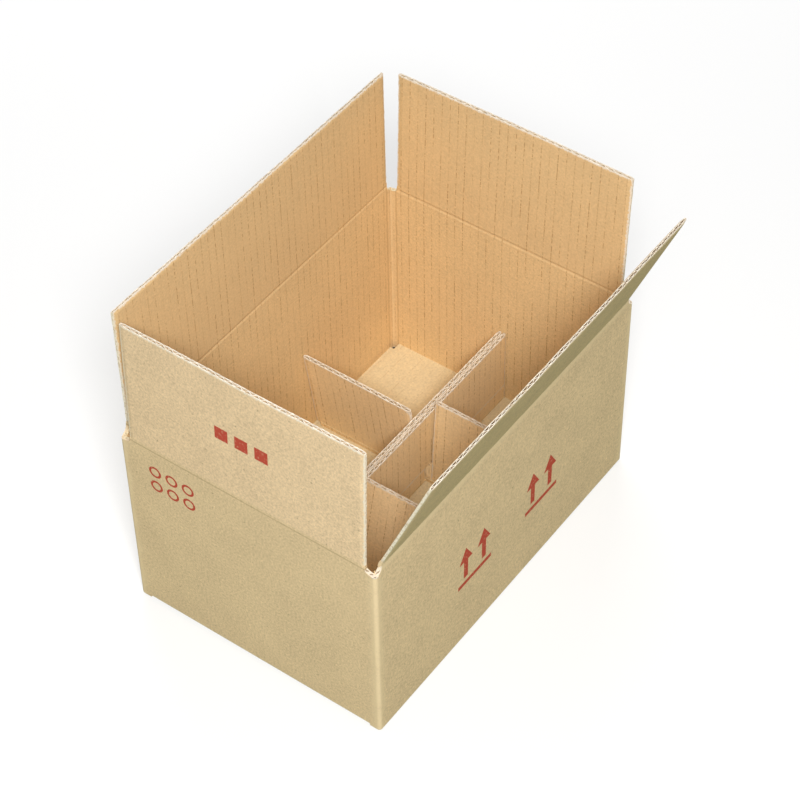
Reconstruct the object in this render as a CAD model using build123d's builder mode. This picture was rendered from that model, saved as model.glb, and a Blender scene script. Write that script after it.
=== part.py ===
"""Open corrugated carton for six jars, with four top flaps and a slotted partition."""

import os
from math import cos, radians, sin

from build123d import *

os.makedirs("parts", exist_ok=True)

# Corrugated board: two liners on a fluted medium, with the flutes running up the walls
board = 3.0
liner = 0.35
medium = 0.35
flute_pitch = 6.4
flute_mouth_share = 0.62  # of the pitch, where a flute is open at its liner
flute_crest_share = 0.20  # of the pitch, at the flute's narrow side
flute_margin = 1.0  # closed board left at both ends of a row of flutes

# Carton, outside sizes
length = 284.0
width = 196.0
end_crease_height = 155.0
corner_fold_radius = 2.5
inner_fold_radius = 0.5

# Creases: mitred edges that meet when a flap is closed
fold_clearance = 0.3
crushed_height = 5.0  # flattened board above a crease, where the flutes are closed
stack_clearance = 0.4  # between the end flaps and the side flaps that close over them

# Top flaps
end_flap_setback = 8.0  # from the carton's corner to the flap's end
side_flap_setback = 6.5
slot_below_crease = 3.0
meeting_gap = 1.0  # between the two side flaps when they are closed
front_flap_angle = 1.8  # degrees from upright, positive inwards
back_flap_angle = -2.6
right_flap_angle = -22.0
left_flap_angle = 0.0

# Closed bottom
bottom_setback = 1.5  # outer bottom flaps behind the end wall's face
bottom_seam = 0.2
bottom_fold_radius = 1.2
corner_hole = 4.0

# Glue tab inside the right wall
tab_width = 38.0
tab_thickness = 2.0
tab_bevel = 8.0
tab_clearance = 4.0  # from the floor and from the crease

# Partition
cells_along = 3
long_divider_height = 64.5
cross_divider_height = 73.0
divider_clearance = 1.0  # from the carton's walls
sheet_gap = 0.4  # between the two halves of the doubled strip
cross_slot_clearance = 1.3  # beside the doubled strip
bridge_height = 14.0  # board left under a cross divider's slot
bridge_clearance = 1.5
long_slot_width = 10.0
front_wing_angles = (-3.0, 14.0)  # degrees towards +X, left half and right half
back_wing_angles = (-8.5, 4.5)

overrun = 2.0  # cuts pass their faces by this

inner_length = length - 2 * board
inner_width = width - 2 * board
side_crease_height = end_crease_height + board + stack_clearance
flap_reach = (width - meeting_gap) / 2
end_flap_span = width - 2 * end_flap_setback
side_flap_span = length - 2 * side_flap_setback
floor = 2 * board
divider_spacing = inner_length / cells_along
doubled = 2 * board + sheet_gap


def board_section(span):
    """Section across the flutes of a board, with a row of flute mouths at each liner."""
    void_height = board - 2 * liner - medium
    mouth = flute_mouth_share * flute_pitch
    crest = flute_crest_share * flute_pitch
    count = int((span - 2 * flute_margin - flute_pitch / 2) / flute_pitch)
    row = (count - 1) * flute_pitch
    low = liner - board / 2
    with BuildSketch() as section:
        Rectangle(span, board)
        with Locations((-flute_pitch / 4, 0)), GridLocations(flute_pitch, 0, count, 1):
            Polygon(
                (-mouth / 2, low),
                (mouth / 2, low),
                (crest / 2, low + void_height),
                (-crest / 2, low + void_height),
                align=None,
                mode=Mode.SUBTRACT,
            )
        with Locations((flute_pitch / 4, 0)), GridLocations(flute_pitch, 0, count, 1):
            Polygon(
                (-crest / 2, -low - void_height),
                (crest / 2, -low - void_height),
                (mouth / 2, -low),
                (-mouth / 2, -low),
                align=None,
                mode=Mode.SUBTRACT,
            )
    return section.sketch


# Carton body: walls, glue tab and closed bottom of one folded sheet
with BuildPart() as carton_body:
    with BuildSketch():
        RectangleRounded(length, width, corner_fold_radius)
        RectangleRounded(inner_length, inner_width, inner_fold_radius, mode=Mode.SUBTRACT)
    extrude(amount=side_crease_height - fold_clearance)
    fillet(carton_body.faces().sort_by(Axis.Z)[0].outer_wire().edges(), radius=bottom_fold_radius)

    # Outer bottom flaps, from the long walls, meet at a seam along the middle
    with BuildSketch():
        Rectangle(length - 2 * bottom_setback, inner_width + board)
        Rectangle(length, bottom_seam, mode=Mode.SUBTRACT)
    extrude(amount=board)

    # Inner bottom flaps, from the end walls, lie on them
    inner_flap_reach = flap_reach - board / 2
    with BuildSketch(Plane.XY.offset(board)):
        with GridLocations(length - board - inner_flap_reach, 0, 2, 1):
            Rectangle(inner_flap_reach, end_flap_span)
    extrude(amount=board)

    # The end walls stop above the ends of the outer bottom flaps
    undercut = bottom_setback + overrun
    with BuildSketch():
        with GridLocations(length + overrun - bottom_setback, 0, 2, 1):
            Rectangle(undercut, end_flap_span)
    extrude(amount=board, mode=Mode.SUBTRACT)

    # Holes in the floor's corners, where the slots between the bottom flaps end
    with BuildSketch():
        with GridLocations(inner_length - corner_hole, inner_width - corner_hole, 2, 2):
            Rectangle(corner_hole, corner_hole)
    extrude(amount=board, mode=Mode.SUBTRACT)

    # Mitred top edges of the long walls
    with BuildSketch(Plane.YZ):
        with BuildLine():
            edge_height = side_crease_height - fold_clearance
            Polyline(
                (width / 2, edge_height),
                (width / 2 - board - overrun, edge_height - board - overrun),
                (width / 2 - board - overrun, edge_height + overrun),
                (width / 2, edge_height + overrun),
                close=True,
            )
        make_face()
        mirror(about=Plane.YZ)
    extrude(amount=length / 2, both=True, mode=Mode.SUBTRACT)

    # Mitred top edges of the end walls, lower by a closed flap
    with BuildSketch(Plane.XZ):
        with BuildLine():
            edge_height = end_crease_height - fold_clearance
            Polyline(
                (length / 2 + overrun, edge_height),
                (length / 2, edge_height),
                (length / 2 - board - overrun, edge_height - board - overrun),
                (length / 2 - board - overrun, side_crease_height + overrun),
                (length / 2 + overrun, side_crease_height + overrun),
                close=True,
            )
        make_face()
        mirror(about=Plane.YZ)
    extrude(amount=end_flap_span / 2, both=True, mode=Mode.SUBTRACT)

    # Slots between the top flaps end in a scoop over each upright corner
    scoop_low = end_crease_height - slot_below_crease
    scoop_high = end_crease_height - fold_clearance
    for side in (1, -1):
        with BuildSketch(Plane.YZ.offset(side * inner_length / 2)):
            with Locations((-width / 2, scoop_high), (width / 2, scoop_high)):
                Ellipse(end_flap_setback, scoop_high - scoop_low)
                Rectangle(2 * end_flap_setback, scoop_high, align=(Align.CENTER, Align.MIN))
        extrude(amount=side * (board + overrun), mode=Mode.SUBTRACT)
    scoop_high = side_crease_height - fold_clearance
    for side in (1, -1):
        with BuildSketch(Plane.XZ.offset(side * inner_width / 2)):
            with Locations((-length / 2, scoop_high), (length / 2, scoop_high)):
                Ellipse(side_flap_setback, scoop_high - scoop_low)
                Rectangle(2 * side_flap_setback, scoop_high, align=(Align.CENTER, Align.MIN))
        extrude(amount=side * (board + overrun), mode=Mode.SUBTRACT)

    # Glue tab of the back wall, on the inner face of the right wall
    with BuildSketch(Plane.XZ.offset(inner_width / 2)):
        with BuildLine():
            tab_low = floor + tab_clearance
            tab_high = end_crease_height - board - tab_clearance
            Polyline(
                (inner_length / 2, tab_low),
                (inner_length / 2, tab_high),
                (inner_length / 2 - tab_width, tab_high - tab_bevel),
                (inner_length / 2 - tab_width, tab_low + tab_bevel),
                close=True,
            )
        make_face()
    extrude(amount=-tab_thickness)

carton_body.part.label = "carton_body"
export_step(carton_body.part, "parts/carton_body.step")


# Top flaps: node, inward direction, crease height, span along the crease, lean inwards
half_length = length / 2
half_width = width / 2
flaps = (
    ("end_flap_front", (1, 0, 0), half_length, end_crease_height, end_flap_span, front_flap_angle),
    ("end_flap_back", (-1, 0, 0), half_length, end_crease_height, end_flap_span, back_flap_angle),
    ("side_flap_right", (0, 1, 0), half_width, side_crease_height, side_flap_span, right_flap_angle),
    ("side_flap_left", (0, -1, 0), half_width, side_crease_height, side_flap_span, left_flap_angle),
)
for node, direction, distance, crease_height, span, lean in flaps:
    inward = Vector(direction)
    upright = Vector(0, 0, 1)
    crease = Plane(
        origin=upright * crease_height - inward * distance,
        x_dir=inward.cross(upright),
        z_dir=upright * cos(radians(lean)) + inward * sin(radians(lean)),
    )
    with BuildPart() as flap:
        # Crushed foot, mitred at the crease
        with BuildSketch(Plane(crease.origin, x_dir=crease.y_dir, z_dir=crease.x_dir)):
            with BuildLine():
                Polyline(
                    (0, fold_clearance),
                    (board, board + fold_clearance),
                    (board, crushed_height),
                    (0, crushed_height),
                    close=True,
                )
            make_face()
        extrude(amount=span / 2, both=True)
        # Fluted board above it
        with BuildSketch(crease.offset(crushed_height)):
            with Locations((0, board / 2)):
                add(board_section(span))
        extrude(amount=flap_reach - crushed_height)
    flap.part.label = node
    export_step(flap.part, f"parts/{node}.step")


# Long divider: one strip folded double along its bottom
long_divider_span = inner_length - 2 * divider_clearance
with BuildPart() as long_divider:
    with BuildSketch(Plane.XY.offset(floor)):
        Rectangle(long_divider_span, doubled)
    extrude(amount=board)
    fillet(long_divider.edges().filter_by(Axis.X).group_by(Axis.Z)[0], radius=board / 2)
    with BuildSketch(Plane.XY.offset(floor + board)):
        with GridLocations(0, board + sheet_gap, 1, 2):
            add(board_section(long_divider_span))
    extrude(amount=long_divider_height - board)
    with BuildSketch(Plane.XY.offset(floor)):
        with GridLocations(divider_spacing, 0, 2, 1):
            Rectangle(long_slot_width, doubled + overrun)
    extrude(amount=bridge_height + bridge_clearance, mode=Mode.SUBTRACT)

long_divider.part.label = "long_divider"
export_step(long_divider.part, "parts/long_divider.step")


# Cross dividers: two halves that lean apart beside the slot, joined by a bridge under it
slot_half = doubled / 2 + cross_slot_clearance
wing_span = inner_width / 2 - divider_clearance - slot_half
cross_dividers = (
    ("cross_divider_front", -divider_spacing / 2, front_wing_angles),
    ("cross_divider_back", divider_spacing / 2, back_wing_angles),
)
for node, place, leans in cross_dividers:
    with BuildPart() as cross_divider:
        for side, lean in zip((1, -1), leans):
            along = Vector(sin(radians(lean)), 0, cos(radians(lean)))
            foot = floor + board / 2 * abs(sin(radians(lean)))
            # Wing of fluted board
            middle = side * (slot_half + wing_span / 2)
            wing = Plane((place, middle, foot), x_dir=(0, 1, 0), z_dir=along)
            with BuildSketch(wing):
                add(board_section(wing_span))
            extrude(amount=cross_divider_height)
        # Bridge, turning from one lean to the other
        for side, lean in zip((1, -1), leans):
            foot = floor + board / 2 * abs(sin(radians(lean)))
            across = (cos(radians(lean)), 0, -sin(radians(lean)))
            end = Plane((place, side * slot_half, foot), x_dir=across, z_dir=(0, -1, 0))
            with BuildSketch(end):
                Rectangle(board, bridge_height, align=(Align.CENTER, Align.MIN))
        loft(ruled=True)
    cross_divider.part.label = node
    export_step(cross_divider.part, f"parts/{node}.step")
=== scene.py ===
from math import cos, pi, radians, sin

import bmesh
import bpy
from mathutils import Matrix, Vector


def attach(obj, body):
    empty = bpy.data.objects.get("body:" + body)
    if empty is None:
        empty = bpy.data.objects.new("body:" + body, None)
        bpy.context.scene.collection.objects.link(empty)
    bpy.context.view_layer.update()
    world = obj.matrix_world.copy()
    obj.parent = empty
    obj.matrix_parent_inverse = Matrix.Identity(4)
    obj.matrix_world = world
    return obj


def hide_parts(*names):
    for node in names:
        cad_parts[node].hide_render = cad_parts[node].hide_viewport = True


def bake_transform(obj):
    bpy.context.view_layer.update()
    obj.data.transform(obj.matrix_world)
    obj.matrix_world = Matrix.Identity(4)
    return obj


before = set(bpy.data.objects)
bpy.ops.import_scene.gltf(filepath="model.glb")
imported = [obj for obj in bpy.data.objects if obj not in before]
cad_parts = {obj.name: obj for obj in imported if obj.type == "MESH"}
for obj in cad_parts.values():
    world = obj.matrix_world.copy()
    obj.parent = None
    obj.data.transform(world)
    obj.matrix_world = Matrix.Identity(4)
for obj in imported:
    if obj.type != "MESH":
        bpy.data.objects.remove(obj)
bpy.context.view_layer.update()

# Carton body
# The walls, glue tab and bottom are one sheet of brown corrugated board, scored, folded round and glued.
# Outside it is a greyer, speckled liner, inside a warmer one that shows the flutes behind it.
MM = 0.001
board = 3.0 * MM
flute_pitch = 6.4 * MM
half_length = 142.0 * MM
half_width = 98.0 * MM
outside_kraft = (0.715, 0.535, 0.330)
outside_depth = 1.5  # contrast of the paper's clouds, fibres and specks
inside_kraft = (0.745, 0.522, 0.264)
# the floor's liner: its own tone, made paler still as a painted highlight
floor_kraft_and_highlight = (0.715, 0.645, 0.432)
mark_shade = (0.370, 0.190, 0.065, 1)
mark_strength = 0.75
faintest_mark = 0.25
row_step = 5.37  # keeps the dashes of one flute apart from the next one's
dash_scale, fade_scale = 460.0, 22.0
wave_relief, mark_relief, score_relief = 0.175, -0.6, -1.5  # in the bump, where the fibres have 1
ink_red = (0.470, 0.035, 0.022, 1)
thinnest_ink, fullest_ink = 0.58, 0.93


def add_node(tree, kind, sockets, **settings):
    """Adds a node; sockets maps an input to a value or to another node's output."""
    made = tree.nodes.new(kind)
    for key, value in settings.items():
        setattr(made, key, value)
    for socket, value in sockets.items():
        if isinstance(value, bpy.types.NodeSocket):
            tree.links.new(value, made.inputs[socket])
        else:
            made.inputs[socket].default_value = value
    return made


def maths(tree, operation, *values):
    """A Math node's result."""
    return add_node(tree, "ShaderNodeMath", dict(enumerate(values)), operation=operation).outputs[0]


def times(tree, first, *others):
    """The product of two or more values."""
    for other in others:
        first = maths(tree, "MULTIPLY", first, other)
    return first


def between(tree, value, low, high):
    """1 where a value lies between two limits."""
    return times(tree, maths(tree, "GREATER_THAN", value, low), maths(tree, "LESS_THAN", value, high))


def soft_step(tree, value, low, high):
    """0 at low and 1 at high, with a soft change between."""
    sockets = {"Value": value, "From Min": low, "From Max": high}
    return add_node(tree, "ShaderNodeMapRange", sockets, interpolation_type="SMOOTHSTEP").outputs[0]


def combined(tree, *values):
    """A vector from up to three values."""
    return add_node(tree, "ShaderNodeCombineXYZ", dict(enumerate(values))).outputs[0]


def split(tree, vector):
    """The three values of a vector."""
    return add_node(tree, "ShaderNodeSeparateXYZ", {0: vector}).outputs[:]


def mixed(tree, share, first, second):
    """Colour between first and second."""
    sockets = {0: share, 6: first, 7: second}
    return add_node(tree, "ShaderNodeMix", sockets, data_type="RGBA").outputs[2]


def grain(tree, where, scale, detail=3.0, roughness=0.6):
    """Noise over the paper, about 0.5 on average."""
    sockets = {"Vector": where, "Scale": scale, "Detail": detail, "Roughness": roughness}
    return add_node(tree, "ShaderNodeTexNoise", sockets).outputs[0]


def fibres(tree, where):
    """The fine fibres of the paper's face."""
    return grain(tree, where, scale=620.0, detail=5.0, roughness=0.75)


def liner_colour(tree, where, colour, depth):
    """Kraft paper: cloudy tone, fine fibres and scattered dark and pale specks."""
    cloud = maths(tree, "SUBTRACT", grain(tree, where, scale=38.0), 0.5)
    fibre = maths(tree, "SUBTRACT", fibres(tree, where), 0.5)
    dark = soft_step(tree, grain(tree, where, scale=430.0, detail=2.0), low=0.66, high=0.74)
    pale = soft_step(tree, grain(tree, where, scale=350.0, detail=2.0), low=0.30, high=0.24)
    tone = 1.0
    for spread, weight in ((cloud, 0.16), (fibre, 0.80), (dark, -0.22), (pale, 0.14)):
        tone = maths(tree, "MULTIPLY_ADD", spread, weight * depth, tone)
    return add_node(tree, "ShaderNodeVectorMath", {0: colour, "Scale": tone}, operation="SCALE").outputs[0]


def liner_height(tree, where, across):
    """Relief of a liner: its fibres on slight waves over the flutes."""
    wave = maths(tree, "COSINE", times(tree, across, 2.0 * pi / flute_pitch))
    return maths(tree, "MULTIPLY_ADD", wave, wave_relief, fibres(tree, where))


def flute_marks(tree, across, up):
    """Broken lines over the flutes' glued crests, where the medium shows through the liner."""
    line = maths(tree, "DIVIDE", across, flute_pitch)
    from_crest = maths(tree, "ABSOLUTE", maths(tree, "SUBTRACT", maths(tree, "FRACT", line), 0.5))
    thin = soft_step(tree, from_crest, low=0.075, high=0.02)
    row = times(tree, maths(tree, "FLOOR", line), row_step)
    dashes = combined(tree, row, times(tree, up, dash_scale))
    dashes = grain(tree, dashes, scale=1.0, detail=2.0, roughness=0.7)
    broken = soft_step(tree, dashes, low=0.42, high=0.56)
    fading = grain(tree, combined(tree, row, times(tree, up, fade_scale)), scale=1.0, detail=1.0)
    faint = soft_step(tree, fading, low=0.36, high=0.62)
    faint = maths(tree, "MULTIPLY_ADD", faint, 1.0 - faintest_mark, faintest_mark)
    return times(tree, thin, broken, faint)


def marked(tree, marks, paint, height):
    """A liner's colour and relief with the flute marks on it, darker and slightly sunk."""
    paint = mixed(tree, times(tree, marks, mark_strength), paint, mark_shade)
    return paint, maths(tree, "MULTIPLY_ADD", marks, mark_relief, height)


def inked(tree, where, paper, stencil):
    """Red flexographic ink over the paper, thin where the fibres stand up."""
    cover = soft_step(tree, grain(tree, where, scale=520.0), low=0.30, high=0.46)
    cover = maths(tree, "MULTIPLY_ADD", cover, fullest_ink - thinnest_ink, thinnest_ink)
    return mixed(tree, times(tree, cover, stencil), paper, ink_red)


def paper_surface(tree, colour, height):
    """Dull paper with a fine bump."""
    bump = add_node(tree, "ShaderNodeBump", {"Strength": 0.22, "Distance": 0.22 * MM, "Height": height})
    sockets = {"Base Color": colour, "Roughness": 0.88, "Specular IOR Level": 0.18, "Normal": bump.outputs[0]}
    shader = add_node(tree, "ShaderNodeBsdfPrincipled", sockets)
    add_node(tree, "ShaderNodeOutputMaterial", {"Surface": shader.outputs[0]})


def new_paper(name):
    """Empty material, its node tree and the object's own coordinates."""
    material = bpy.data.materials.new(name)
    material.use_nodes = True
    material.node_tree.nodes.clear()
    where = add_node(material.node_tree, "ShaderNodeTexCoord", {}).outputs["Object"]
    return material, material.node_tree, where


carton_paper, tree, where = new_paper("carton_paper")
x, y, z = split(tree, where)
far_x = maths(tree, "ABSOLUTE", x)
far_y = maths(tree, "ABSOLUTE", y)
from_end = maths(tree, "SUBTRACT", half_length, far_x)
from_side = maths(tree, "SUBTRACT", half_width, far_y)
facing = split(tree, add_node(tree, "ShaderNodeNewGeometry", {}).outputs["Normal"])
facing_x = maths(tree, "ABSOLUTE", facing[0])
level = maths(tree, "GREATER_THAN", facing[2], 0.7)
upright = maths(tree, "SUBTRACT", 1.0, level)

# the flutes run up the walls and along the bottom
crosswise = maths(tree, "MAXIMUM", level, maths(tree, "GREATER_THAN", facing_x, 0.5))
across = times(tree, x, maths(tree, "SUBTRACT", 1.0, crosswise))
across = maths(tree, "MULTIPLY_ADD", y, crosswise, across)
up = maths(tree, "ADD", z, times(tree, x, level))

# outer and inner liner, parted a little below the outer faces; the floor's liner is paler, partly its own
# tone and partly a painted highlight for the light that falls on it from above, with fainter marks
skin_depth = 1.2 * MM
face_depth = 0.6 * MM
floor_share = 0.6
floor_marks = 0.35
within = times(
    tree,
    maths(tree, "LESS_THAN", far_x, half_length - skin_depth),
    maths(tree, "LESS_THAN", far_y, half_width - skin_depth),
    maths(tree, "GREATER_THAN", z, skin_depth),
)
on_front = maths(tree, "LESS_THAN", x, face_depth - half_length)
on_right = maths(tree, "LESS_THAN", y, face_depth - half_width)
outer = liner_colour(tree, where, outside_kraft, outside_depth)
inner = liner_colour(tree, where, inside_kraft, 1.0)
floor_paper_and_highlight = liner_colour(tree, where, floor_kraft_and_highlight, 0.8)
inner = mixed(tree, times(tree, level, floor_share), inner, floor_paper_and_highlight)
clear = maths(tree, "MULTIPLY_ADD", level, floor_marks - 1.0, 1.0)
marks = times(tree, flute_marks(tree, across, up), clear)
inner, height = marked(tree, marks, inner, liner_height(tree, where, across))

# inside the upright corners the score leaves a pressed line on each wall and a bead between
bead_wear = (0.800, 0.600, 0.340, 1)
bead_edge = 4.2 * MM, 2.0 * MM  # from none to full, as are the other edges
pressed_shade = (0.400, 0.235, 0.095, 1)
pressed_place = 4.4 * MM
pressed_edge = 1.0 * MM, 0.2 * MM
waver = maths(tree, "SUBTRACT", grain(tree, where, scale=110.0, detail=4.0), 0.5)
fold = maths(tree, "MAXIMUM", from_end, from_side)
bead = maths(tree, "MULTIPLY_ADD", waver, 1.6 * MM, maths(tree, "SUBTRACT", fold, board))
pressed = maths(tree, "ABSOLUTE", maths(tree, "SUBTRACT", bead, pressed_place))
pressed = times(tree, soft_step(tree, pressed, *pressed_edge), upright)
bead = times(tree, soft_step(tree, bead, *bead_edge), upright)
inner = mixed(tree, times(tree, bead, 0.30), inner, bead_wear)
inner = mixed(tree, times(tree, pressed, 0.34), inner, pressed_shade)

# painted highlight on the upright corners' folds, partly real wear, with wear along the bottom and a painted
# highlight along the right wall's bent crease
fold_wear_and_highlight = (0.830, 0.645, 0.410, 1)
corner_edge = 7.5 * MM, 1.5 * MM
corner_fade = 16.0 * MM, 1.0 * MM
bottom_edge = 1.8 * MM, 0.2 * MM
bent_edge = 151.0 * MM, 157.5 * MM
fold = maths(tree, "MULTIPLY_ADD", waver, 10.0 * MM, fold)
corner = times(tree, soft_step(tree, fold, *corner_edge), 0.72)
corner = maths(tree, "MULTIPLY_ADD", soft_step(tree, fold, *corner_fade), 0.14, corner)
bottom = times(tree, soft_step(tree, z, *bottom_edge), 0.5)
bent = maths(tree, "MULTIPLY_ADD", waver, 5.0 * MM, z)
bent = times(tree, soft_step(tree, bent, *bent_edge), on_right, 0.75)
worn_and_highlight = maths(tree, "MAXIMUM", corner, maths(tree, "MAXIMUM", bottom, bent))
worn_and_highlight = times(tree, worn_and_highlight, soft_step(tree, grain(tree, where, scale=55.0), low=0.0, high=0.55))
outer = mixed(tree, worn_and_highlight, outer, fold_wear_and_highlight)

# plain red print: pairs of arrows over bars on the right wall, six rings on the front wall
pair_place = 38.0 * MM
arrow_place = 10.0 * MM
stem_half = 2.3 * MM
stem_foot, stem_top = 60.5 * MM, 77.0 * MM
head_foot, head_top = 76.5 * MM, 89.0 * MM
head_slope = 0.58
bar_half = 18.5 * MM
bar_foot, bar_top = 53.5 * MM, 57.0 * MM
ring_pitch = 13.0 * MM
ring_inside, ring_outside = 0.24, 0.37  # of the pitch
pair = maths(tree, "ABSOLUTE", maths(tree, "SUBTRACT", far_x, pair_place))
arrow = maths(tree, "ABSOLUTE", maths(tree, "SUBTRACT", pair, arrow_place))
stem = times(tree, maths(tree, "LESS_THAN", arrow, stem_half), between(tree, z, stem_foot, stem_top))
head = times(tree, maths(tree, "SUBTRACT", head_top, z), head_slope)
head = times(tree, maths(tree, "LESS_THAN", arrow, head), maths(tree, "GREATER_THAN", z, head_foot))
bar = times(tree, maths(tree, "LESS_THAN", pair, bar_half), between(tree, z, bar_foot, bar_top))
arrows = maths(tree, "MAXIMUM", maths(tree, "MAXIMUM", stem, head), bar)
ring_y = maths(tree, "SUBTRACT", maths(tree, "FRACT", maths(tree, "DIVIDE", y, ring_pitch)), 0.5)
ring_z = maths(tree, "SUBTRACT", maths(tree, "FRACT", maths(tree, "DIVIDE", z, ring_pitch)), 0.5)
ring = maths(tree, "ADD", maths(tree, "POWER", ring_y, 2.0), maths(tree, "POWER", ring_z, 2.0))
rings = times(
    tree,
    between(tree, maths(tree, "SQRT", ring), ring_inside, ring_outside),
    between(tree, y, 3 * ring_pitch, 6 * ring_pitch),
    between(tree, z, 9 * ring_pitch, 11 * ring_pitch),
)
print_shapes = maths(tree, "MAXIMUM", times(tree, arrows, on_right), times(tree, rings, on_front))
outer = inked(tree, where, outer, print_shapes)

# raw edges at the slots and under the end walls, with the flutes' dark ends along the slots
slot_fibre = (0.740, 0.640, 0.500)
flute_shade = (0.220, 0.140, 0.070, 1)
flute_ends = 0.8 * MM, 2.2 * MM  # below the outer face
paper_face = 0.06 * MM
slot_foot = 151.3 * MM
bottom_face = 3.05 * MM
bottom_ends = 1.0 * MM, 2.0 * MM
far_edge_shade = 0.7  # how much of the raw edges' paleness the far side loses, painted shade against the strong light on it
in_end_wall = between(tree, from_end, paper_face, board - paper_face)
in_side_wall = between(tree, from_side, paper_face, board - paper_face)
slot_edge = maths(tree, "MAXIMUM", in_end_wall, in_side_wall)
slot_edge = times(tree, slot_edge, maths(tree, "GREATER_THAN", z, slot_foot))
low_end = times(
    tree,
    maths(tree, "GREATER_THAN", facing_x, 0.9),
    maths(tree, "LESS_THAN", z, bottom_face),
    between(tree, from_end, *bottom_ends),
)
rawness = maths(tree, "MULTIPLY_ADD", soft_step(tree, y, 0.0, half_width), -far_edge_shade, 1.0)
raw = maths(tree, "MAXIMUM", times(tree, slot_edge, rawness), low_end)
depth = maths(tree, "MINIMUM", from_end, from_side)
hole = maths(tree, "SINE", times(tree, maths(tree, "ADD", far_x, far_y), 4.0 * pi / flute_pitch))
hole = times(tree, soft_step(tree, hole, low=0.1, high=0.5), between(tree, depth, *flute_ends))
hole = times(tree, hole, slot_edge, 0.75)
edge = mixed(tree, hole, liner_colour(tree, where, slot_fibre, outside_depth), flute_shade)

colour = mixed(tree, raw, mixed(tree, within, outer, inner), edge)
height = maths(tree, "MULTIPLY_ADD", times(tree, pressed, within), score_relief, height)
paper_surface(tree, colour, height)

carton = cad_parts["carton_body"]
carton.data.materials.clear()
carton.data.materials.append(carton_paper)

# Top flaps
# Each flap is the wall's board carried on past its crease: two liners glued to a fluted medium,
# cut square, so the top shows the open ends of the flutes between pale torn fibres.
liner = 0.62 * MM
medium = 0.50 * MM
wave_points = 8  # of the medium, along each flute
end_cap = 0.5 * MM
cap_inset = 0.6 * MM
cap_width = board - 1.6 * liner
foot_height = 3.3 * MM
flap_reach = 97.5 * MM
end_crease_height = 155.0 * MM
side_crease_height = 158.4 * MM
end_flap_span = 180.0 * MM
side_flap_span = 271.0 * MM
crushed_length = 3.4 * MM  # board flattened by the cutter at its upright ends
crushed_share = 0.45
pressed_length = 2.6 * MM  # and along its top
ragged_depth = 0.5 * MM
tear_scale, ply_scale = 420.0, 900.0  # of the ragged cut, along it and through the board
tear_middle = 0.62
bow_across, bow_up = 9.0, 6.0  # waves of the bow in a metre of board
straightest = 0.25
press_scale = 70.0
# the front flap's outside is painted paler than its wall, a painted highlight for the extra light it catches
# leaning inwards
lit_front_flap_kraft = (0.760, 0.560, 0.360)
# the flaps' inner liner is painted darker than the walls' inside as painted shade; the creases' inside is
# painted between the two
shaded_flap_inside_kraft = (0.705, 0.488, 0.247)
flap_inside_depth = 0.8
cut_fibre = (0.820, 0.735, 0.610)
torn_reach = 3.6 * MM
torn_edge = 1.3 * MM, 0.5 * MM
flute_brown = (0.580, 0.440, 0.280)
score_shade = (0.380, 0.275, 0.155, 1)
score_height = 0.5 * MM
score_edge = 0.9 * MM, 0.2 * MM
square_pitch = 15.0 * MM
squares_half = 22.5 * MM
square_sides = 0.17, 0.83  # of the pitch
squares_foot, squares_top = 42.0 * MM, 52.0 * MM
flaps = (
    ("front_flap", "end_flap_front", (-half_length, 0, end_crease_height), (1, 0, 0), 1.8, end_flap_span),
    ("back_flap", "end_flap_back", (half_length, 0, end_crease_height), (-1, 0, 0), -2.6, end_flap_span),
    ("right_flap", "side_flap_right", (0, -half_width, side_crease_height), (0, 1, 0), -22.0, side_flap_span),
    ("left_flap", "side_flap_left", (0, half_width, side_crease_height), (0, -1, 0), 0.0, side_flap_span),
)


def stored(tree, name):
    """A value stored on the mesh, read in a material."""
    return add_node(tree, "ShaderNodeAttribute", {}, attribute_name=name).outputs["Fac"]


def board_paper(name, colour, depth, fluted=False, printed=False, scored=False):
    """Liner of a cut board, whose flutes follow the board's own width and height."""
    material, tree, where = new_paper(name)
    across = stored(tree, "across")
    up = stored(tree, "up")
    paint = liner_colour(tree, where, colour, depth)
    height = liner_height(tree, where, across)
    if printed:
        column = maths(tree, "DIVIDE", maths(tree, "ADD", across, squares_half), square_pitch)
        squares = times(
            tree,
            between(tree, maths(tree, "FRACT", column), *square_sides),
            between(tree, up, squares_foot, squares_top),
            between(tree, across, -squares_half, squares_half),
        )
        paint = inked(tree, where, paint, squares)
    if fluted:
        paint, height = marked(tree, flute_marks(tree, across, up), paint, height)
    if scored:
        line = maths(tree, "ABSOLUTE", maths(tree, "SUBTRACT", up, score_height))
        line = times(tree, soft_step(tree, line, *score_edge), 0.5)
        paint = mixed(tree, line, paint, score_shade)
    shred = maths(tree, "SUBTRACT", grain(tree, where, scale=620.0, detail=2.0), 0.5)
    torn = maths(tree, "MULTIPLY_ADD", shred, torn_reach, stored(tree, "rim"))
    torn = times(tree, soft_step(tree, torn, *torn_edge), 0.85)
    paper_surface(tree, mixed(tree, torn, paint, cut_fibre + (1,)), height)
    return material


def plain_paper(name, colour, depth, fleck=0.0):
    """Paper with no flutes behind it, such as a cut edge or the medium; flecks where it is torn."""
    material, tree, where = new_paper(name)
    paint = liner_colour(tree, where, colour, depth)
    torn = soft_step(tree, grain(tree, where, scale=520.0, detail=2.0), low=0.53, high=0.62)
    paint = mixed(tree, times(tree, torn, fleck), paint, flute_brown + (1,))
    paper_surface(tree, paint, grain(tree, where, scale=900.0))
    return material


flap_outside = board_paper("flap_outside", outside_kraft, outside_depth)
lit_front_flap_outside = board_paper("lit_front_flap_outside", lit_front_flap_kraft, outside_depth, printed=True)
shaded_flap_inside = board_paper("shaded_flap_inside", shaded_flap_inside_kraft, flap_inside_depth, fluted=True)
cut_edge = plain_paper("cut_edge", cut_fibre, depth=1.2, fleck=0.6)
flute_medium = plain_paper("flute_medium", flute_brown, depth=1.0)

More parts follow.
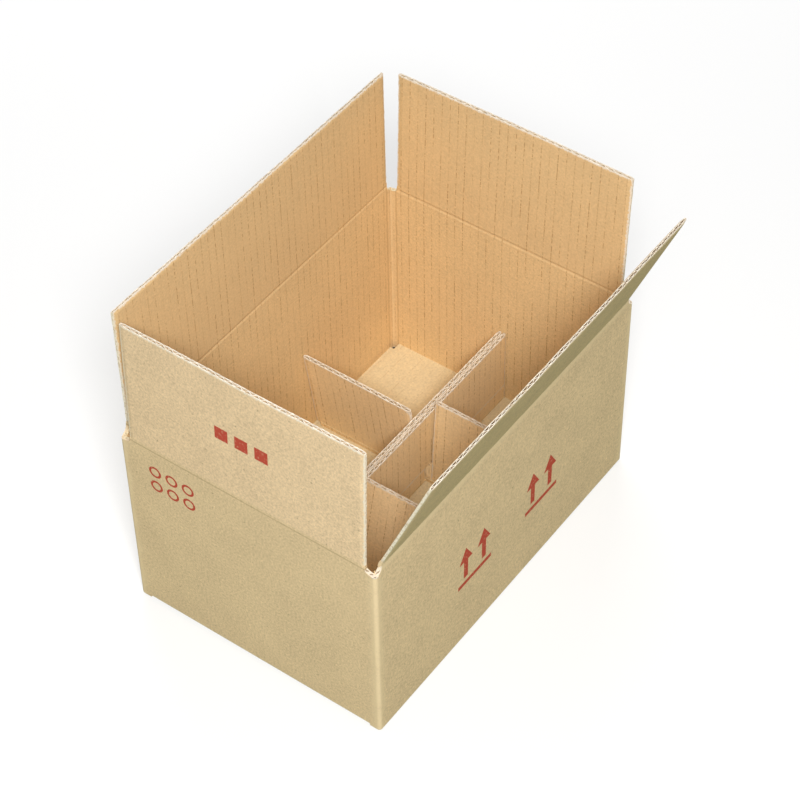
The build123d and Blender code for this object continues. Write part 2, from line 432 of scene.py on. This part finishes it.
board_tree = bpy.data.node_groups.new("fluted_board", "GeometryNodeTree")
board_sockets = {}
for title, kind, default in (
    ("Span", "NodeSocketFloat", 0.18),
    ("Height", "NodeSocketFloat", 0.09),
    ("Start", "NodeSocketFloat", 0.0),
    ("Bow", "NodeSocketFloat", 0.0),
    ("Ragged", "NodeSocketFloat", 0.0),
    ("Crush", "NodeSocketFloat", crushed_share),
    ("Pressed", "NodeSocketFloat", 0.0),
    ("Seed", "NodeSocketFloat", 1.0),
    ("Columns", "NodeSocketInt", 80),
    ("Rows", "NodeSocketInt", 24),
    ("Outside", "NodeSocketMaterial", None),
    ("Inside", "NodeSocketMaterial", None),
    ("Edge", "NodeSocketMaterial", None),
    ("Medium", "NodeSocketMaterial", None),
):
    socket = board_tree.interface.new_socket(title, in_out="INPUT", socket_type=kind)
    if default is not None:
        socket.default_value = default
    board_sockets[title] = socket.identifier
board_tree.interface.new_socket("Board", in_out="OUTPUT", socket_type="NodeSocketGeometry")
asked = add_node(board_tree, "NodeGroupInput", {}).outputs


def reckon(operation, *values):
    """A Math node's result in the board's tree."""
    return maths(board_tree, operation, *values)


def shaped(kind, sockets, **settings):
    """A geometry node's first result in the board's tree."""
    return add_node(board_tree, kind, sockets, **settings).outputs[0]


def keep(geometry, name, value, domain="POINT"):
    """Stores a value on the board under a name."""
    sockets = {"Geometry": geometry, "Name": name, "Value": value}
    return shaped("GeometryNodeStoreNamedAttribute", sockets, data_type="FLOAT", domain=domain)


def named(name):
    """Reads a stored value."""
    return shaped("GeometryNodeInputNamedAttribute", {"Name": name}, data_type="FLOAT")


def place_of(axis):
    """One coordinate of the board's points."""
    return split(board_tree, shaped("GeometryNodeInputPosition", {}))[axis]


def joined(pieces):
    """Several geometries as one."""
    join = add_node(board_tree, "GeometryNodeJoinGeometry", {})
    for piece in pieces:
        board_tree.links.new(piece, join.inputs[0])
    return join.outputs[0]


# two liners, each a thin box with enough points to bow
half_height = reckon("MULTIPLY", asked["Height"], 0.5)
sheets = []
for ply, side in ((0.0, -1.0), (1.0, 1.0)):
    extent = combined(board_tree, asked["Span"], liner, asked["Height"])
    counts = {"Size": extent, "Vertices X": asked["Columns"], "Vertices Y": 2, "Vertices Z": asked["Rows"]}
    shift = combined(board_tree, 0.0, side * (board - liner) / 2, half_height)
    sheet = {"Geometry": shaped("GeometryNodeMeshCube", counts), "Translation": shift}
    sheet = keep(shaped("GeometryNodeTransform", sheet), "ply", ply, domain="FACE")
    flat = reckon("ABSOLUTE", split(board_tree, shaped("GeometryNodeInputNormal", {}))[1])
    sheets.append(keep(sheet, "cut", reckon("LESS_THAN", flat, 0.5), domain="FACE"))

# the medium between them, a sheet waved along the flute pitch and given its thickness
steps = reckon("CEIL", reckon("DIVIDE", asked["Span"], flute_pitch / wave_points))
grid = {"Size X": asked["Span"], "Size Y": asked["Height"], "Vertices X": steps, "Vertices Y": asked["Rows"]}
wave = {"Geometry": shaped("GeometryNodeMeshGrid", grid), "Rotation": (pi / 2, 0, 0)}
wave["Translation"] = combined(board_tree, 0.0, 0.0, half_height)
wave = shaped("GeometryNodeTransform", wave)
phase = reckon("ADD", place_of(0), asked["Start"])
swing = reckon("COSINE", reckon("MULTIPLY", phase, 2 * pi / flute_pitch))
swing = reckon("MULTIPLY_ADD", swing, (board - 2 * liner - medium) / 2, medium / 2)
wave = shaped("GeometryNodeSetPosition", {"Geometry": wave, "Offset": combined(board_tree, 0.0, swing)})
back = shaped("GeometryNodeFlipFaces", {0: wave})
thick = {"Mesh": wave, "Offset Scale": medium, "Individual": False}
front = add_node(board_tree, "GeometryNodeExtrudeMesh", thick, mode="FACES")
front = keep(front.outputs["Mesh"], "cut", front.outputs["Side"], domain="FACE")
wave = shaped("GeometryNodeMergeByDistance", {"Geometry": joined((front, back)), "Distance": 1e-6})
sheets.append(keep(wave, "ply", 2.0, domain="FACE"))

# crushed fibre that closes the board at its two upright ends
for side in (-1.0, 1.0):
    end = reckon("MULTIPLY", reckon("SUBTRACT", asked["Span"], cap_inset), side / 2)
    extent = combined(board_tree, end_cap, cap_width, asked["Height"])
    counts = {"Size": extent, "Vertices X": 2, "Vertices Y": 2, "Vertices Z": asked["Rows"]}
    cap = {"Geometry": shaped("GeometryNodeMeshCube", counts)}
    cap["Translation"] = combined(board_tree, end, 0.0, half_height)
    cap = keep(shaped("GeometryNodeTransform", cap), "ply", 2.0, domain="FACE")
    sheets.append(keep(cap, "cut", 1.0, domain="FACE"))

made = keep(joined(sheets), "across", reckon("ADD", place_of(0), asked["Start"]))
made = keep(made, "up", place_of(2))
half_span = reckon("MULTIPLY", asked["Span"], 0.5)
to_end = reckon("SUBTRACT", half_span, reckon("ABSOLUTE", place_of(0)))
to_top = reckon("SUBTRACT", asked["Height"], place_of(2))
made = keep(made, "rim", reckon("MINIMUM", to_end, to_top))


def torn_cut(along, seed):
    """How far a cut is torn off its line, at places along it and through the board."""
    along = reckon("MULTIPLY", along, tear_scale)
    spot = combined(board_tree, along, reckon("MULTIPLY", place_of(1), ply_scale), seed)
    torn = reckon("SUBTRACT", grain(board_tree, spot, scale=1.0, detail=2.0), tear_middle)
    return times(board_tree, torn, asked["Ragged"], 2.0)


# a slow bow that grows away from the foot
rise = reckon("DIVIDE", named("up"), asked["Height"])
sway = reckon("MULTIPLY", named("across"), bow_across), reckon("MULTIPLY", named("up"), bow_up)
bow = grain(board_tree, combined(board_tree, *sway, asked["Seed"]), scale=1.0, detail=1.0)
bow = reckon("MAXIMUM", reckon("SUBTRACT", bow, straightest), 0.0)
bow = times(board_tree, bow, rise, asked["Bow"])

# ragged cuts along the top and the upright ends, which the cutter has also crushed
rough = torn_cut(named("across"), asked["Seed"])
rough = reckon("MULTIPLY", rough, reckon("GREATER_THAN", rise, 0.995))
outward = reckon("SIGN", place_of(0))
fray = torn_cut(named("up"), reckon("ADD", asked["Seed"], outward))
very_end = reckon("MULTIPLY", asked["Span"], 0.4999)
at_end = reckon("GREATER_THAN", reckon("ABSOLUTE", place_of(0)), very_end)
fray = times(board_tree, fray, at_end, outward)
crushed = reckon("MULTIPLY", soft_step(board_tree, to_end, crushed_length, 0.0), asked["Crush"])
press = combined(board_tree, reckon("MULTIPLY", named("across"), press_scale), asked["Seed"])
press = grain(board_tree, press, scale=1.0, detail=1.0)
press = times(board_tree, press, soft_step(board_tree, to_top, pressed_length, 0.0), asked["Pressed"])
crushed = reckon("MAXIMUM", crushed, press)
bow = reckon("SUBTRACT", bow, reckon("MULTIPLY", place_of(1), crushed))
offset = combined(board_tree, fray, bow, rough)
made = shaped("GeometryNodeSetPosition", {"Geometry": made, "Offset": offset})
made = shaped("GeometryNodeRealizeInstances", {"Geometry": made})
for title, test in (
    ("Outside", reckon("LESS_THAN", named("ply"), 0.5)),
    ("Inside", reckon("COMPARE", named("ply"), 1.0, 0.1)),
    ("Medium", reckon("GREATER_THAN", named("ply"), 1.5)),
    ("Edge", reckon("GREATER_THAN", named("cut"), 0.5)),
):
    sockets = {"Geometry": made, "Selection": test, "Material": asked[title]}
    made = shaped("GeometryNodeSetMaterial", sockets)
add_node(board_tree, "NodeGroupOutput", {"Board": made})


def cut_board(placed, **sizes):
    """One board from the tree, as a plain mesh set in place."""
    holder = bpy.data.objects.new("board_blank", bpy.data.meshes.new("board_blank"))
    bpy.context.scene.collection.objects.link(holder)
    modifier = holder.modifiers.new("board", "NODES")
    modifier.node_group = board_tree
    for title, value in sizes.items():
        modifier[board_sockets[title]] = value
    graph = bpy.context.evaluated_depsgraph_get()
    mesh = bpy.data.meshes.new_from_object(holder.evaluated_get(graph), depsgraph=graph)
    bpy.data.objects.remove(holder)
    mesh.transform(placed)
    return mesh


def one_piece(name, meshes):
    """Joins meshes into one object at the origin, keeping their finishes and stored values."""
    parts = []
    for mesh in meshes:
        part = bpy.data.objects.new(name, mesh)
        bpy.context.scene.collection.objects.link(part)
        parts.append(part)
    with bpy.context.temp_override(active_object=parts[0], selected_editable_objects=parts, object=parts[0]):
        bpy.ops.object.join()
    parts[0].name = name
    return parts[0]


end_bow = 2.0 * MM  # inwards
side_bow = -1.6 * MM  # outwards, clear of the end flaps when the carton is closed
end_pressed, side_pressed = 0.15, 0.75
column_width = 1.6 * MM
flap_papers = {"Outside": flap_outside, "Inside": shaded_flap_inside, "Edge": cut_edge, "Medium": flute_medium}
for number, (body, node, crease, inward, lean, span) in enumerate(flaps):
    inward = Vector(inward)
    along = inward.cross(Vector((0, 0, 1)))
    turned = Matrix.Rotation(radians(lean), 3, inward.cross(Vector((0, 0, -1))))
    inner_way = turned @ inward
    upward = turned @ Vector((0, 0, 1))
    placed = Matrix((along, inner_way, upward)).transposed().to_4x4()
    placed.translation = Vector(crease) + inner_way * (board / 2) + upward * foot_height
    at_end_wall = node.startswith("end")
    sizes = dict(flap_papers, Span=span, Height=flap_reach - foot_height, Ragged=ragged_depth)
    sizes["Bow"] = end_bow if at_end_wall else side_bow
    sizes["Pressed"] = end_pressed if at_end_wall else side_pressed
    if body == "front_flap":
        sizes["Outside"] = lit_front_flap_outside
    mesh = cut_board(placed, Seed=2.0 + 3.1 * number, Columns=int(span / column_width), Rows=44, **sizes)
    flap = one_piece(body + "_board", [mesh])
    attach(flap, body)
    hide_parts(node)

# Creases
# The score line between a wall and its flap, where the board is pressed flat and bends:
# a shallow groove on the inside and a slightly broken ridge on the outside, painted paler on the right flap's
# bent crease as a painted highlight.
groove = 0.40 * MM
groove_steps = 6
groove_power = 7
gap = 0.3 * MM
ridge = 1.6 * MM
crease_step = 3.2 * MM
bent_highlight_kraft = (0.760, 0.590, 0.380)
shaded_crease_inside_kraft = (0.720, 0.500, 0.252)
scored_crease = board_paper("scored_crease", outside_kraft, outside_depth, scored=True)
bent_crease_highlight = plain_paper("bent_crease_highlight", bent_highlight_kraft, depth=1.2)
shaded_crease_inside = board_paper("shaded_crease_inside", shaded_crease_inside_kraft, flap_inside_depth, fluted=True)


def keep_flat(mesh, across, up):
    """Stores a mesh's width and height along the board, for the pattern of its paper, far from any cut."""
    for name, values in (("across", across), ("up", up), ("rim", [1.0] * len(up))):
        mesh.attributes.new(name, "FLOAT", "POINT").data.foreach_set("value", values)


def through_rings(name, rings, papers, inside=()):
    """A closed mesh through rings of points, with the second paper on the sides listed as inside."""
    mesh = bpy.data.meshes.new(name)
    build = bmesh.new()
    loops = [[build.verts.new(spot) for spot in ring] for ring in rings]
    sides = len(loops[0])
    for first, second in zip(loops, loops[1:]):
        for corner in range(sides):
            after = (corner + 1) % sides
            face = build.faces.new((first[corner], first[after], second[after], second[corner]))
            face.material_index = 1 if corner in inside else 0
    build.faces.new(loops[0])
    build.faces.new(list(reversed(loops[-1])))
    bmesh.ops.recalc_face_normals(build, faces=build.faces)
    build.to_mesh(mesh)
    build.free()
    for paper in papers:
        mesh.materials.append(paper)
    return mesh


reach = foot_height
profile = [(0.0, -gap), (board, -reach)]
for step in range(1 - groove_steps, groove_steps):
    share = step / groove_steps
    profile.append((board - groove * (1 - share * share) ** groove_power, share * reach))
profile += [(board, reach), (0.0, reach), (0.0, ridge), (0.0, gap)]
inner_sides = range(1, 2 * groove_steps + 1)
for body, _, crease, inward, lean, span in flaps:
    inward = Vector(inward)
    along = inward.cross(Vector((0, 0, 1)))
    axis = inward.cross(Vector((0, 0, -1)))
    count = int(span / crease_step)
    rings = []
    across = []
    up = []
    for column in range(count + 1):
        place = span * (column / count - 0.5)
        at_end = max(0.0, 1 - (span / 2 - abs(place)) / crushed_length)
        ring = []
        for depth, height in profile:
            pinch = crushed_share * at_end * max(0.0, height / reach)
            depth = board / 2 + (depth - board / 2) * (1 - pinch)
            bend = radians(lean) * min(1.0, max(0.0, (height + reach) / (2 * reach)))
            spot = Matrix.Rotation(bend, 3, axis) @ (inward * depth + Vector((0, 0, height)))
            ring.append(Vector(crease) + along * place + spot)
            across.append(place)
            up.append(height)
        rings.append(ring)
    outer_paper = bent_crease_highlight if body == "right_flap" else scored_crease
    mesh = through_rings(body + "_crease", rings, (outer_paper, shaded_crease_inside), inner_sides)
    keep_flat(mesh, across, up)
    strip = bpy.data.objects.new(body + "_crease", mesh)
    bpy.context.scene.collection.objects.link(strip)
    turned = Matrix.Rotation(radians(lean), 3, axis)
    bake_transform(strip)

# Long divider
# A strip of the same board folded double along its bottom, standing on the floor down the middle.
# Slots cut up from the fold let it drop over the two cross dividers.
floor_level = 6.0 * MM
divider_span = 276.0 * MM
divider_top = 70.5 * MM
divider_spacing = 278.0 / 3 * MM
slot_top = 21.5 * MM
slot_half = 5.0 * MM
ply_offset = 1.7 * MM
fold_half = 3.2 * MM
fold_steps = 12
fold_top = floor_level + board
divider_bow = 0.5 * MM
# the dividers' liner is paler than the walls', partly its own tone and partly a painted highlight for the
# light that reaches the deep cells
divider_kraft_and_highlight = (0.850, 0.630, 0.350)
divider_paper_and_highlight = board_paper("divider_paper_and_highlight", divider_kraft_and_highlight, depth=0.9, fluted=True)
divider_papers = {"Outside": divider_paper_and_highlight, "Inside": divider_paper_and_highlight, "Edge": cut_edge, "Medium": flute_medium}
tongues = (
    (-divider_span / 2, -divider_spacing / 2 - slot_half),
    (-divider_spacing / 2 + slot_half, divider_spacing / 2 - slot_half),
    (divider_spacing / 2 + slot_half, divider_span / 2),
)
meshes = []
for ply in (-1, 1):
    placed = Matrix.Translation((0, ply * ply_offset, slot_top))
    sizes = dict(divider_papers, Height=divider_top - slot_top, Span=divider_span, Columns=172, Rows=14)
    meshes.append(cut_board(placed, Bow=divider_bow, Ragged=ragged_depth, Seed=20.0 + ply, **sizes))
    for start, end in tongues:
        middle = (start + end) / 2
        placed = Matrix.Translation((middle, ply * ply_offset, fold_top))
        sizes = dict(divider_papers, Span=end - start, Height=slot_top - fold_top, Start=middle)
        meshes.append(cut_board(placed, Seed=31.0, Columns=50, Rows=4, **sizes))
for ends in tongues:
    rings = []
    for place in ends:
        turns = [pi * step / fold_steps for step in range(fold_steps + 1)]
        rings.append([(place, -fold_half * cos(turn), fold_top - board * sin(turn)) for turn in turns])
    fold = through_rings("fold", rings, (divider_paper_and_highlight,))
    keep_flat(fold, [point.co.x for point in fold.vertices], [point.co.z for point in fold.vertices])
    meshes.append(fold)
long_divider = one_piece("long_divider_board", meshes)
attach(long_divider, "carton")
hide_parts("long_divider")

# Cross dividers
# Two short strips slotted down from above into the long one. Each half stands free beside its slot
# and leans its own way, with the uncut board bridging below.
wing_start = 4.5 * MM
wing_span = 89.5 * MM
wing_height = 73.0 * MM
wing_bow = 1.4 * MM
bridge_height = 14.0 * MM
cross_dividers = (
    ("cross_divider_front", -divider_spacing / 2, (-3.0, 14.0)),
    ("cross_divider_back", divider_spacing / 2, (-8.5, 4.5)),
)
for number, (node, place, leans) in enumerate(cross_dividers):
    meshes = []
    rings = []
    for side, lean in zip((1, -1), leans):
        tilt = Matrix.Rotation(radians(lean), 3, "Y")
        foot = floor_level + board / 2 * abs(sin(radians(lean)))
        placed = (tilt @ Matrix.Rotation(pi / 2, 3, "Z")).to_4x4()
        placed.translation = (place, side * (wing_start + wing_span / 2), foot)
        seed = 40.0 + 4 * number + side
        sizes = dict(divider_papers, Span=wing_span, Height=wing_height, Columns=56, Rows=18)
        meshes.append(cut_board(placed, Bow=wing_bow, Ragged=ragged_depth, Seed=seed, **sizes))
        ring = []
        for across, height in ((-1, 0), (1, 0), (1, 1), (-1, 1)):
            spot = tilt @ Vector((across * board / 2, 0, height * bridge_height))
            ring.append(Vector((place, side * wing_start, foot)) + spot)
        rings.append(ring)
    bridge = through_rings("bridge", rings, (divider_paper_and_highlight,))
    keep_flat(bridge, [point.co.y for point in bridge.vertices], [point.co.z for point in bridge.vertices])
    meshes.append(bridge)
    divider = one_piece(node + "_board", meshes)
    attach(divider, "carton")
    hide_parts(node)

# Studio
# A wide pale floor, an even pale sky and two soft lamps, with a long lens above one corner.
# The floor and sky look white to the camera and throw back less light than that onto the carton.
floor_half = 4.0
floor_bounce = (0.19, 0.250, 0.115, 1)
floor_white = (0.88, 0.88, 0.875, 1)
painted_shadow_under_carton = (0.06, 0.05, 0.04, 1)
shadow_edge = 0.2, 1.3  # metres from the middle, over which the floor turns white
shadow_white = 0.4
sky_light = 0.29
floor_mesh = bpy.data.meshes.new("studio_floor")
corners = [(x * floor_half, y * floor_half, 0) for x, y in ((-1, -1), (1, -1), (1, 1), (-1, 1))]
floor_mesh.from_pydata(corners, [], [(0, 1, 2, 3)])
studio_floor = bpy.data.objects.new("studio_floor", floor_mesh)
bpy.context.scene.collection.objects.link(studio_floor)


def seen(tree):
    """1 where the camera or a reflection looks."""
    rays = add_node(tree, "ShaderNodeLightPath", {}).outputs
    return maths(tree, "MAXIMUM", rays["Is Camera Ray"], rays["Is Glossy Ray"])


floor_paint = bpy.data.materials.new("floor_paint")
floor_paint.use_nodes = True
tree = floor_paint.node_tree
where = add_node(tree, "ShaderNodeTexCoord", {}).outputs["Object"]
# the floor under the carton is painted dark, a painted shadow seen through the carton's corner holes
beside = split(tree, add_node(tree, "ShaderNodeVectorMath", {0: where}, operation="ABSOLUTE").outputs[0])
beside = maths(
    tree,
    "MAXIMUM",
    maths(tree, "GREATER_THAN", beside[0], half_length - board),
    maths(tree, "GREATER_THAN", beside[1], half_width - board),
)
looked_at = seen(tree)
pale = mixed(tree, looked_at, floor_bounce, floor_white)
painted = tree.nodes["Principled BSDF"]
painted.inputs["Roughness"].default_value = 0.9
tree.links.new(mixed(tree, beside, painted_shadow_under_carton, pale), painted.inputs["Base Color"])
away = add_node(tree, "ShaderNodeVectorMath", {0: where}, operation="LENGTH").outputs["Value"]
away = maths(tree, "MULTIPLY_ADD", soft_step(tree, away, *shadow_edge), 1.0 - shadow_white, shadow_white)
white = add_node(tree, "ShaderNodeEmission", {"Color": (1.0, 1.0, 1.0, 1), "Strength": 1.0})
sockets = {0: times(tree, looked_at, away, beside), 1: painted.outputs[0], 2: white.outputs[0]}
shown = add_node(tree, "ShaderNodeMixShader", sockets).outputs[0]
tree.links.new(shown, tree.nodes["Material Output"].inputs["Surface"])
floor_mesh.materials.append(floor_paint)

sky = bpy.data.worlds.new("studio_sky")
bpy.context.scene.world = sky
sky.use_nodes = True
glow = maths(sky.node_tree, "MULTIPLY_ADD", seen(sky.node_tree), 1.0 - sky_light, sky_light)
background = sky.node_tree.nodes["Background"]
background.inputs["Color"].default_value = (1.0, 1.0, 1.0, 1)
sky.node_tree.links.new(glow, background.inputs["Strength"])
for name, power, size, place in (
    ("camera_lamp", 40.5, 0.45, (-1.02, -0.85, 1.55)),
    ("back_lamp", 14.0, 1.2, (1.1, 1.0, 0.7)),
):
    lamp = bpy.data.lights.new(name, "AREA")
    lamp.energy = power
    lamp.size = size
    fixed = bpy.data.objects.new(name, lamp)
    bpy.context.scene.collection.objects.link(fixed)
    fixed.location = place
    fixed.rotation_euler = (Vector((0, 0, 0.1)) - Vector(place)).to_track_quat("-Z", "Y").to_euler()

lens = bpy.data.cameras.new("camera")
lens.lens = 109.638
lens.sensor_width = 36.0
lens.clip_end = 20.0
camera = bpy.data.objects.new("camera", lens)
bpy.context.scene.collection.objects.link(camera)
azimuth, elevation, roll = radians(-53.456), radians(46.733), radians(-1.033)
backward = Vector((sin(azimuth) * cos(elevation), -cos(azimuth) * cos(elevation), sin(elevation)))
rightward = Vector((cos(azimuth), sin(azimuth), 0))
skyward = backward.cross(rightward)
rolled = rightward * cos(roll) + skyward * sin(roll)
skyward = skyward * cos(roll) - rightward * sin(roll)
pose = Matrix((rolled, skyward, backward)).transposed().to_4x4()
pose.translation = (-0.85692, -0.64800, 1.26338)
camera.matrix_world = pose
bpy.context.scene.camera = camera
bpy.context.scene.view_settings.view_transform = "Standard"
